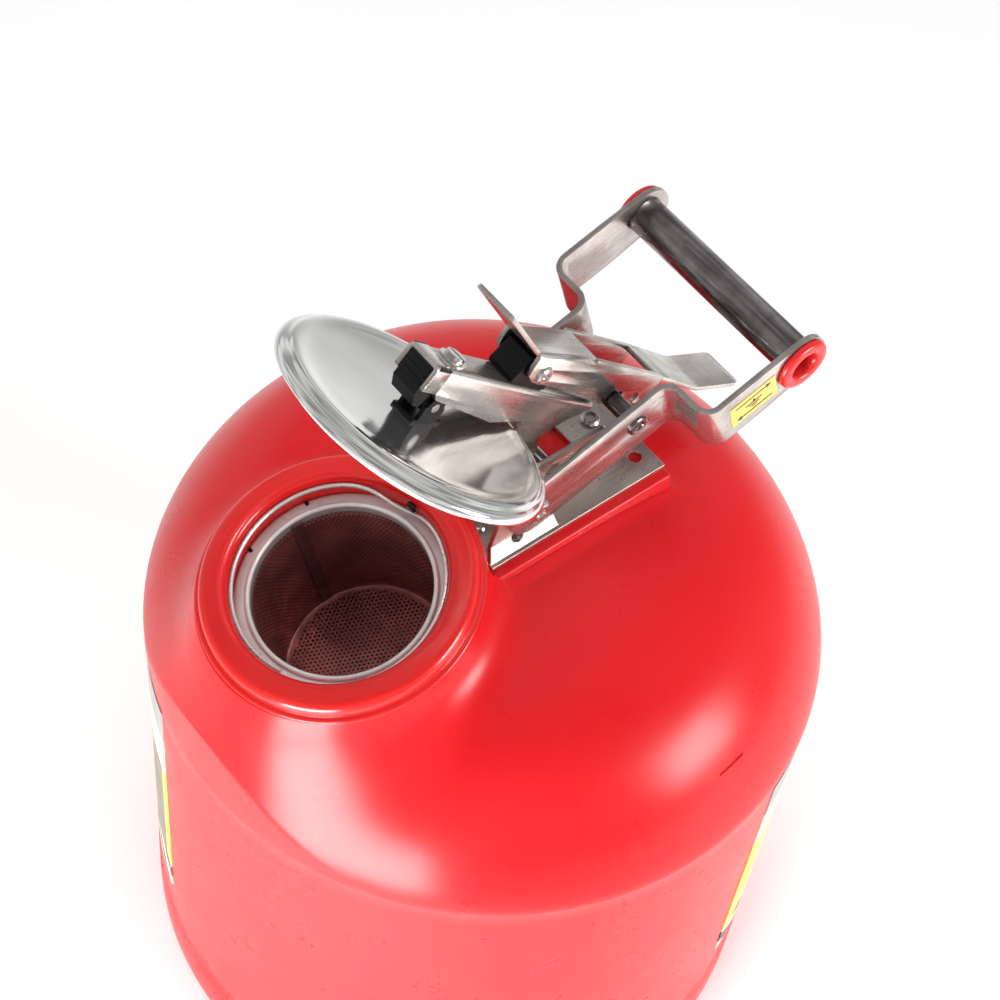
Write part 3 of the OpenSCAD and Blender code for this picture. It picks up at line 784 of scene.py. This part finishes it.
def lid_dish():
    """The dished lid: its inner face out to the stepped, rolled rim, and back along the outer face."""
    inner = [(0, 0.42), (12, 0.42), (22, 0.6), (30, 0.9), (38, 1.35), (44, 1.9), (48.5, 2.6), (51, 2.8)]
    rim = [(54.5, 2.8), (55.6, 1.6), (56.6, 0.9), (58, 0.6), (58.8, -0.6), (59.2, -1.5), (59.8, -1.95),
           (60.2, -1.7), (60.4, -1.1), (60.3, -0.2), (60.0, 0.7), (59.4, 1.5), (58.6, 2.05), (57.7, 2.3),
           (57.0, 2.6), (56.4, 3.3), (55.7, 3.95), (54.6, 4.2), (53.2, 4.25), (51.4, 4.05), (49.6, 3.6),
           (47.4, 3.2)]
    outer = [(44, 2.9), (38, 2.45), (30, 2.0), (22, 1.7), (12, 1.6), (0.01, 1.6), (0.01, 0.42)]
    verts, faces = lathe_mesh(inner + rim + outer, 240, closed_profile=False)
    piece("lid_dish", LID.put(verts), faces, POLISHED, "lid", ["lid_cap"], sharp=50)


def gasket():
    """The white ring under the lid, with bevelled corners."""
    profile = [(44.2, -4.2), (44.6, -4.6), (55.2, -4.6), (55.6, -4.2), (55.6, 1.4), (54.5, 2.75), (52, 2.75),
               (44.2, 1.6)]
    verts, faces = lathe_mesh(profile, 180)
    piece("gasket_ring", LID.put(verts), faces, RUBBER, "lid", ["lid_gasket"])


# ---------------------------------------------------------------- lever and latch

SHEET_T = 2.0
SHEET_EDGE = 0.35


def channel(name, tilted, outline, half, web_v, web_u, bend, mat, body, node=None, holes=(), extra=None):
    """A folded channel: two flanges, two round bends and a web, by outer faces. extra adds to the sheet."""
    sheet = Sheet()
    near, far = web_u
    curve = arc(half - bend, web_v - bend, bend, 0, 90)
    for side in (-1, 1):
        sheet.flat(outline, lambda p, s=side: (s * half, p[0], p[1]), holes)
        sheet.strip([[(side * x, near, v), (side * x, far, v)] for x, v in curve])
    sheet.strip([[(x, near, web_v), (x, far, web_v)] for x in (bend - half, half - bend)])
    if extra:
        extra(sheet)
    up = Vector(tilted.ev)

    def outward(centre, normal):
        side = normal.x * (1 if centre.x > 0 else -1)
        return side if abs(normal.x) > 0.5 else normal.dot(up)
    return piece(name, tilted.put(sheet.verts), sheet.faces, mat, body, [node] if node else [],
                 thick=SHEET_T, edge=SHEET_EDGE, hint=outward)


def lever():
    """The lid's lever: a channel from the hinge pin to the block, open underneath."""
    front, web, rear, bend = 94.0, 44.2, -17.4, 3.0
    outline = [(rear, web - bend), (front, web - bend), (front, 33.4), (91, 30.4), (45.3, 25.6), (30.9, 28),
               (24.7, 29), (7.2, -3.4)]
    outline += arc(0, 0, 8, -40, -160)
    outline += [(-7.4, 3), (-2, 17), (4.2, 24), (-6, 34), (-15.5, 40)]
    channel("lever_channel", LEVER, outline, 8.4, web, (rear, front), bend, LEVER_STEEL, "lid_lever",
            "lid_lever", [circle(0, 0, 3.6)])


def latch():
    """The latch: a channel with a bent tab in front, the hook's notch, and the thumb plate behind."""
    web, bend, rear, front, half = 9.4, 2.5, -9.6, 30.7, 10.6
    outline = [(rear, web - bend), (front, web - bend), (front, 9.2), (81, 4.7), (88, 4), (86, -11),
               (82, -14), (68, -14), (66, -13), (65.4, -6), (64.5, -5.2), (57.6, -5.2), (56.7, -6),
               (55, -12.5), (24.6, -6.5), (-4.6, -3.8), (-8.6, -1.0), (rear, 3)]

    def along_tab(distance):
        a = math.radians(155.5)
        return (rear + distance * math.cos(a), web + distance * math.sin(a))

    def tab_and_plate(sheet):
        tab = [(half - bend, 0), (half - 0.8, 2.0), (half, 37.5), (half - 1.5, 39)]
        sheet.strip([[(x, *along_tab(distance)) for x in (-w, w)] for w, distance in tab])
        between = half - SHEET_T - 0.05
        plate = [(82, 4.55, between), (88.15, 3.8, between), (88.2, 3.8, half), (100, 2.4, half),
                 (117, 0.3, half), (120, 0.0, half), (121.6, 0.0, half), (123.4, 0.1, half),
                 (126, 0.45, half), (140, 2.4, half), (150, 3.85, half), (152.2, 4.15, half - 0.7),
                 (153, 4.3, half - 2.2)]
        sheet.strip([[(-w, u, v), (w, u, v)] for u, v, w in plate])
    channel("latch_channel", LATCH, outline, half, web, (rear, front), bend, LATCH_STEEL, "latch",
            "latch_lever", [circle(0, 0, 2.5), circle(76.5, -8, 2.6)], tab_and_plate)


def block_dress():
    """The lever's cut end, a hair proud of the block it wraps, and the ribs on the block's front."""
    half, web, low, near, far, bend = 8.65, 44.45, 33.0, 93.9, 103.4, 2.6
    outline = [(near, web - bend), (far, web - bend), (far, low), (near, low)]
    channel("block_band", LEVER, outline, half, web, (near, far), bend, LEVER_STEEL, "lid_lever")
    for i, v in enumerate((34.6, 37.4, 40.2)):
        small_block("block_rib_%d" % i, LEVER, (0, 103.1, v), (5.6, 0.45, 0.75), BLACK, "lid_lever")


# ---------------------------------------------------------------- handle

def arm(side, name, node):
    """A handle strip: round foot on the hinge pin, a step outwards, and a round end on the grip's plug."""
    arm_in, arm_out, strip_t, joggle, bend_r = 24.3, 48.0, 2.5, 66.6, 5.5
    low, high, tip_r, plug_hole_r = -12.0, 16.0, 13.0, 8.5
    face_in, face_out = arm_in + strip_t, arm_out + strip_t
    bend_out = bend_r + strip_t
    end_u = joggle + bend_r + bend_out
    foot = [(joggle, low), (joggle, high)] + arc(0, (low + high) / 2, (high - low) / 2, 90, 270, 18)
    step = arc(face_in + bend_r, joggle, bend_r, 180, 90, 8)
    step += arc(arm_out - bend_r, end_u, bend_out, -90, 0, 8)
    tip = arc(GRIP_U, GRIP_V, tip_r, -90, 90, 18)
    end = [(end_u, high), (end_u, low), (GRIP_U - 20, low)] + tip + [(GRIP_U - 20, high)]
    sheet = Sheet()
    sheet.flat(foot, lambda p: (side * face_in, p[0], p[1]), [circle(0, 0, 3.55), circle(54, 3.6, 3.0)])
    sheet.strip([[(side * x, u, low), (side * x, u, high)] for x, u in step])
    sheet.flat(end, lambda p: (side * face_out, p[0], p[1]), [circle(GRIP_U, GRIP_V, plug_hole_r, 40)])
    up = Vector(HANDLE.eu)

    def outward(centre, normal):
        return normal.x * side if abs(normal.x) > 0.15 else -normal.dot(up)
    return piece(name, HANDLE.put(sheet.verts), sheet.faces, ARM_STEEL, "handle", [node],
                 thick=strip_t, edge=0.4, hint=outward)


def label_marks():
    """Two arrows and an earth symbol on the yellow film, a hair above it."""
    x, u0, v0 = 50.86, 84.0, -5.5
    arrow = [(2.2, 2.9), (5.0, 1.2), (5.0, 2.4), (21.5, 2.4), (21.5, 3.4), (5.0, 3.4), (5.0, 4.6)]
    across, along = 24.0, 15.0
    bars = [(11.4, 8.6, 12.6, 10.2), (7.5, 7.7, 16.5, 8.6), (9.2, 6.2, 14.8, 7.0), (10.8, 4.7, 13.2, 5.5)]
    shapes = [arrow, [(across - a, along - b) for a, b in arrow]]
    shapes += [[(a0, b1), (a1, b1), (a1, b0), (a0, b0)] for a0, b0, a1, b1 in bars]
    sheet = Sheet()
    for shape in shapes:
        sheet.flat([(u0 + a, v0 + b) for a, b in shape], lambda p: (x, p[0], p[1]))
    piece("label_marks", HANDLE.put(sheet.verts), sheet.faces, INK, "handle",
          hint=lambda centre, normal: normal.x, thick=0.03)


def on_grip(verts, start=0.0, side=1):
    """Points turned about the local v axis, laid along the grip's axis instead."""
    return HANDLE.put([(side * (start + v), GRIP_U + a, GRIP_V + b) for a, b, v in verts])


def grip():
    """The grip's tube and the two hollow plugs in its ends."""
    half, r, inner = 50.5, 8.5, 7.3
    tube = [(inner, -half), (r - 0.3, -half), (r, -half + 0.4), (r, half - 0.4), (r - 0.3, half),
            (inner, half)]
    verts, faces = lathe_mesh(tube, 72)
    piece("grip_bar", on_grip(verts), faces, TUBE, "handle", ["grip_tube"], sharp=40)
    cap = [(7.2, -13), (7.2, 0), (9.4, 0), (11.6, 0.1), (12.2, 0.5), (12.3, 1.2), (12.0, 2.3), (11.3, 3.0),
           (10.2, 3.35), (8.6, 3.4), (7.4, 3.1), (6.6, 2.4), (6.1, 1.2), (5.7, -4), (5.4, -12), (0.01, -12),
           (0.01, -13)]
    verts, faces = lathe_mesh(cap, 96)
    for side, name in ((-1, "left"), (1, "right")):
        piece("grip_plug_" + name, on_grip(verts, half, side), faces, PLUG_RED, "handle",
              ["grip_plugs"] if side > 0 else [], sharp=50)


# ---------------------------------------------------------------- CAD nodes kept as they are

# Each node's material, its slot in the record and how far its edges are rounded, in mm
KEPT = {
    "mounting_bracket": (SHEET_STEEL, "bracket_steel", 0.35),
    "bracket_screws": (TURNED, "zinc_hardware", 0.2),
    "plinth_inserts": (BRASS, "brass_insert", 0.2),
    "hinge_pin": (TURNED, "zinc_hardware", 0.25),
    "pin_spacers": (TURNED, "zinc_hardware", 0.25),
    "stop_pin": (TURNED, "zinc_hardware", 0.3),
    "return_spring": (WIRE, "spring_wire", 0),
    "lid_block": (BLACK, "black_plastic", 0.5),
    "block_bolt": (TURNED, "zinc_hardware", 0.2),
    "latch_block": (BLACK, "black_plastic", 0.6),
    "latch_rivet": (TURNED, "zinc_hardware", 0.2),
    "lid_clevis": (BLACK, "black_plastic", 0.25),
    "lid_pin": (TURNED, "zinc_hardware", 0.2),
    "crossbar": (TUBE, "zinc_hardware", 0.25),
    "bond_label": (YELLOW, "yellow_label", 0),
    "side_labels": (WRAP, "label_print", 0),
}


def dress(name, mat, edge):
    """A kept CAD node: its seams welded, its edges rounded, its material set."""
    obj = frame["nodes"][name]
    paint(obj, mat)
    weld = obj.modifiers.new("weld", "WELD")
    weld.merge_threshold = WELD_GAP
    if edge:
        round_corners(obj, edge)
    smooth = obj.modifiers.new("shade", "WEIGHTED_NORMAL")
    smooth.keep_sharp = True
    smooth.weight = 60


can_shell()
pad()
fill_mark()
collar()
arrester_wall()
arrester_disc()
arrester_hem()
arrester_seam()
arrester_flange()
retaining_wire()
lid_dish()
gasket()
lever()
latch()
block_dress()
arm(1, "arm_strip_right", "handle_arm_right")
arm(-1, "arm_strip_left", "handle_arm_left")
label_marks()
grip()
for node_name, (node_mat, node_slot, node_edge) in KEPT.items():
    dress(node_name, node_mat, node_edge)


# ---------------------------------------------------------------- stage, light and camera

FLOOR_HALF = 9.0


def floor():
    """A wide pale floor under the can."""
    g = Graph("pale_floor")
    tone = g.mix(g.ramp(g.noise(3, 2), 0.3, 0.7), (0.9, 0.9, 0.9), (0.88, 0.88, 0.88))
    g.set(Base_Color=tone, Roughness=0.6)
    corners = [(FLOOR_HALF * x, FLOOR_HALF * y, 0) for x, y in ((-1, -1), (1, -1), (1, 1), (-1, 1))]
    mesh = bpy.data.meshes.new("floor")
    mesh.from_pydata(corners, [], [(0, 1, 2, 3)])
    mesh.materials.append(g.mat)
    obj = bpy.data.objects.new("floor", mesh)
    bpy.context.scene.collection.objects.link(obj)


def soft_light(name, place, target, size, power, mirrored=True):
    """An area light; one that is not mirrored lights surfaces without showing in their shine."""
    data = bpy.data.lights.new(name, "AREA")
    data.shape = "RECTANGLE"
    data.size, data.size_y = size
    data.energy = power
    obj = bpy.data.objects.new(name, data)
    obj.location = place
    obj.rotation_euler = (Vector(target) - Vector(place)).to_track_quat("-Z", "Y").to_euler()
    obj.visible_glossy = mirrored
    obj.visible_camera = False
    bpy.context.scene.collection.objects.link(obj)


def world():
    """A pale room: bright low down, darker overhead, with soft uneven panels for the metal to reflect."""
    room = bpy.data.worlds.new("pale_room")
    room.use_nodes = True
    tree = room.node_tree
    way = tree.nodes.new("ShaderNodeTexCoord")
    split = tree.nodes.new("ShaderNodeSeparateXYZ")
    patch = tree.nodes.new("ShaderNodeTexNoise")
    patch.inputs["Scale"].default_value = 2.3
    patch.inputs["Detail"].default_value = 1.0
    tree.links.new(way.outputs["Generated"], split.inputs[0])
    tree.links.new(way.outputs["Generated"], patch.inputs["Vector"])

    def mapped(source, limits):
        node = tree.nodes.new("ShaderNodeMapRange")
        tree.links.new(source, node.inputs[0])
        for socket, value in zip(node.inputs[1:5], limits):
            socket.default_value = value
        return node
    fall = mapped(split.outputs[2], (0.05, 0.9, 0.8, 0.42))
    panel = mapped(patch.outputs[0], (0.40, 0.58, 0.4, 1.12))
    panel.interpolation_type = "SMOOTHSTEP"
    both = tree.nodes.new("ShaderNodeMath")
    both.operation = "MULTIPLY"
    tree.links.new(fall.outputs[0], both.inputs[0])
    tree.links.new(panel.outputs[0], both.inputs[1])
    background = tree.nodes["Background"]
    background.inputs["Color"].default_value = (1, 1, 1, 1)
    tree.links.new(both.outputs[0], background.inputs["Strength"])
    bpy.context.scene.world = room


# Places on the dome whose highlights the two mirrored lights make, and the can's middle, in metres
SHOULDER_LEFT = (0.05, -0.131, 0.283)
SHOULDER_RIGHT = (0.124, 0.005, 0.291)
MIDDLE = (0, 0, 0.3)
# The camera's place in metres, its axes, and its lens and sensor in mm
CAMERA_AT = (0.4062, -0.4060, 1.0991)
CAMERA_RIGHT = (0.61836, 0.78134, 0.08447)
CAMERA_UP = (-0.66428, 0.46222, 0.58745)
LENS = 82.61
SENSOR = 36.0
CLIP_END = 50.0


def photo_camera():
    """The camera at the photograph's viewing angle."""
    data = bpy.data.cameras.new("photo_view")
    data.lens = LENS
    data.sensor_width = SENSOR
    data.clip_end = CLIP_END
    camera = bpy.data.objects.new("photo_view", data)
    right = Vector(CAMERA_RIGHT).normalized()
    back = right.cross(Vector(CAMERA_UP)).normalized()
    axes = Matrix((right, back.cross(right), back)).transposed()
    camera.matrix_world = Matrix.Translation(CAMERA_AT) @ axes.to_4x4()
    bpy.context.scene.collection.objects.link(camera)
    bpy.context.scene.camera = camera


floor()
world()
soft_light("low_box", (0.235, -0.465, 0.15), SHOULDER_LEFT, (0.25, 0.2), 4.2)
soft_light("right_box", (1.35, 0.7, 0.62), SHOULDER_RIGHT, (0.6, 0.5), 22)
soft_light("front_fill", (0.2, -1.5, 0.7), SHOULDER_LEFT, (0.9, 0.9), 3.5, mirrored=False)
soft_light("top_box", (-0.5, 0.3, 2.3), MIDDLE, (2.2, 2.2), 32, mirrored=False)
soft_light("left_box", (-1.6, -0.9, 0.9), MIDDLE, (1.2, 1.2), 3, mirrored=False)
photo_camera()
bpy.context.scene.view_settings.view_transform = "Standard"
